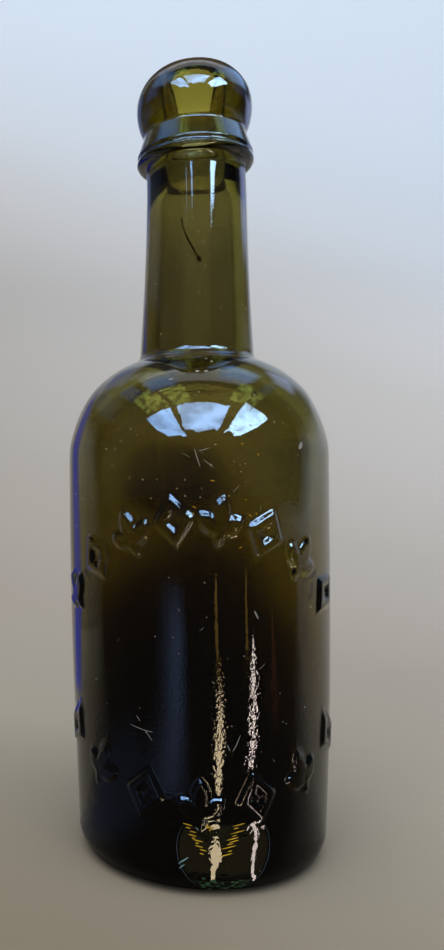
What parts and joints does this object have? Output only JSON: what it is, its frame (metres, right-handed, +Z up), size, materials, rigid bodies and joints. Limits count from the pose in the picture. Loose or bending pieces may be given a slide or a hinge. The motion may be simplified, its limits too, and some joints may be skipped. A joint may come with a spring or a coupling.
{
  "type": "bottle",
  "caption": "Half-pint blown glass bottle with a blob lip over a collar ring, round shoulder, pushed-up foot and raised ornament on its front.",
  "frame": {"origin": "middle of the foot, on the plane the bottle stands on", "axes": "+Z up the bottle's axis, from the foot to the mouth; -Y is the front, with the raised ornament and the chipped heel"},
  "size_m": [0.066, 0.0666, 0.1967],
  "materials": {
    "glass": "gloss"
  },
  "bodies": {
    "root": {"bottle": "glass"}
  },
  "joints": []
}
